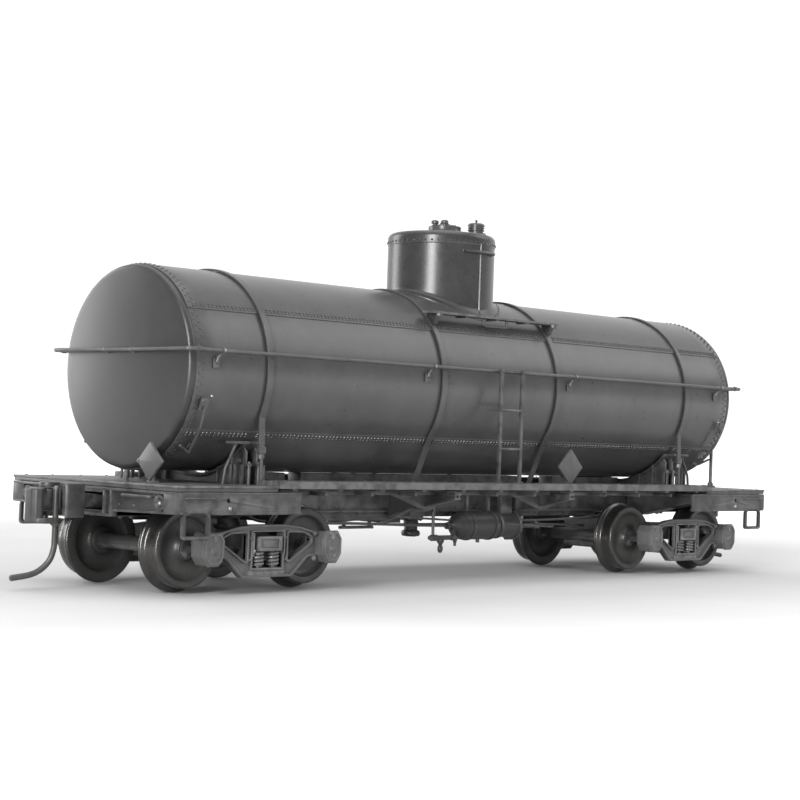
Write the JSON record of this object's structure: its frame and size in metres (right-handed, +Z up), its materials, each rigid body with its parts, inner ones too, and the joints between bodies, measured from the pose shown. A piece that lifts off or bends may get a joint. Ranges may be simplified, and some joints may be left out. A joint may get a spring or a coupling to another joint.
{
  "type": "model tank wagon",
  "caption": "Scale model railway tank wagon: riveted barrel with dome, steel-banded to a flat underframe, on swivelling four-wheel trucks with knuckle couplers.",
  "frame": {"origin": "middle of the wagon's length and width, at the lowest point of the wheel flanges", "axes": "+X along the wagon towards the hand-brake end, +Y across it, +Z up"},
  "size_m": [0.1406, 0.0334, 0.052],
  "materials": {
    "tank_paint": "satin near-black paint over riveted shell",
    "frame_paint": "satin near-black paint",
    "truck_plastic": "self-coloured satin black moulding",
    "wheel_metal": "chemically blackened turned steel",
    "wire_steel": "blackened drawn wire",
    "ballast_steel": "plain sheared steel bar",
    "coupler_metal": "blackened die casting"
  },
  "bodies": {
    "root": {"centre_sill": "frame_paint", "body_bolster_a": "frame_paint", "body_bolster_b": "frame_paint", "cross_bearer_a": "frame_paint", "cross_bearer_b": "frame_paint", "end_sill_a": "frame_paint", "end_sill_b": "frame_paint", "side_sill_a_near": "frame_paint", "side_sill_a_far": "frame_paint", "side_sill_b_near": "frame_paint", "side_sill_b_far": "frame_paint", "end_platform_a": "frame_paint", "end_platform_b": "frame_paint", "running_board_near": "frame_paint", "running_board_far": "frame_paint", "saddle_a": "frame_paint", "saddle_b": "frame_paint", "tank_barrel": "tank_paint", "tank_head_a": "tank_paint", "tank_head_b": "tank_paint", "ballast_weight": "ballast_steel", "dome": "tank_paint", "manway_cover": "tank_paint", "safety_valve": "tank_paint", "tank_band_1": "tank_paint", "tank_band_2": "tank_paint", "tank_band_3": "tank_paint", "tank_band_4": "tank_paint", "handrail_near": "wire_steel", "handrail_far": "wire_steel", "handrail_end_a": "wire_steel", "handrail_end_b": "wire_steel", "ladder_near": "frame_paint", "ladder_far": "frame_paint", "dome_walk_near": "frame_paint", "dome_walk_far": "frame_paint", "placard_board_end_a": "frame_paint", "placard_board_end_b": "frame_paint", "placard_board_near": "frame_paint", "placard_board_far": "frame_paint", "air_reservoir": "frame_paint", "brake_cylinder": "frame_paint", "bottom_outlet": "frame_paint", "hand_brake": "wire_steel", "king_screw_a": "wire_steel", "king_screw_b": "wire_steel"},
    "truck_a": {"truck_a_frame_near": "truck_plastic", "truck_a_frame_far": "truck_plastic", "truck_a_bolster": "truck_plastic"},
    "truck_b": {"truck_b_frame_near": "truck_plastic", "truck_b_frame_far": "truck_plastic", "truck_b_bolster": "truck_plastic"},
    "wheelset_a1": {"wheelset_a1": "wheel_metal"},
    "wheelset_a2": {"wheelset_a2": "wheel_metal"},
    "wheelset_b1": {"wheelset_b1": "wheel_metal"},
    "wheelset_b2": {"wheelset_b2": "wheel_metal"},
    "coupler_a": {"coupler_a": "coupler_metal"},
    "knuckle_a": {"knuckle_a": "coupler_metal"},
    "coupler_b": {"coupler_b": "coupler_metal"},
    "knuckle_b": {"knuckle_b": "coupler_metal"}
  },
  "joints": [
    {"name": "truck_a_swivel", "type": "hinge", "parent": "root", "child": "truck_a", "pos_m": [-0.04344, 0, 0.00545], "axis": [0, 0, 1], "range_deg": [-10, 10]},
    {"name": "truck_b_swivel", "type": "hinge", "parent": "root", "child": "truck_b", "pos_m": [0.04344, 0, 0.00545], "axis": [0, 0, 1], "range_deg": [-10, 10]},
    {"name": "wheelset_a1_spin", "type": "hinge", "parent": "truck_a", "child": "wheelset_a1", "pos_m": [-0.05304, 0, 0.00545], "axis": [0, 1, 0], "continuous": true},
    {"name": "wheelset_a2_spin", "type": "hinge", "parent": "truck_a", "child": "wheelset_a2", "pos_m": [-0.03384, 0, 0.00545], "axis": [0, 1, 0], "continuous": true},
    {"name": "wheelset_b1_spin", "type": "hinge", "parent": "truck_b", "child": "wheelset_b1", "pos_m": [0.03384, 0, 0.00545], "axis": [0, 1, 0], "continuous": true},
    {"name": "wheelset_b2_spin", "type": "hinge", "parent": "truck_b", "child": "wheelset_b2", "pos_m": [0.05304, 0, 0.00545], "axis": [0, 1, 0], "continuous": true},
    {"name": "coupler_a_swing", "type": "hinge", "parent": "root", "child": "coupler_a", "pos_m": [-0.054, 0, 0.0108], "axis": [0, 0, 1], "range_deg": [-10, 10], "stiffness_Nm_per_rad": 0.002},
    {"name": "coupler_b_swing", "type": "hinge", "parent": "root", "child": "coupler_b", "pos_m": [0.054, 0, 0.0108], "axis": [0, 0, 1], "range_deg": [-10, 10], "stiffness_Nm_per_rad": 0.002},
    {"name": "knuckle_a_open", "type": "hinge", "parent": "coupler_a", "child": "knuckle_a", "pos_m": [-0.0652, 0.0018, 0.0108], "axis": [0, 0, -1], "range_deg": [0, 35], "stiffness_Nm_per_rad": 0.0005},
    {"name": "knuckle_b_open", "type": "hinge", "parent": "coupler_b", "child": "knuckle_b", "pos_m": [0.0652, -0.0018, 0.0108], "axis": [0, 0, -1], "range_deg": [0, 35], "stiffness_Nm_per_rad": 0.0005}
  ]
}
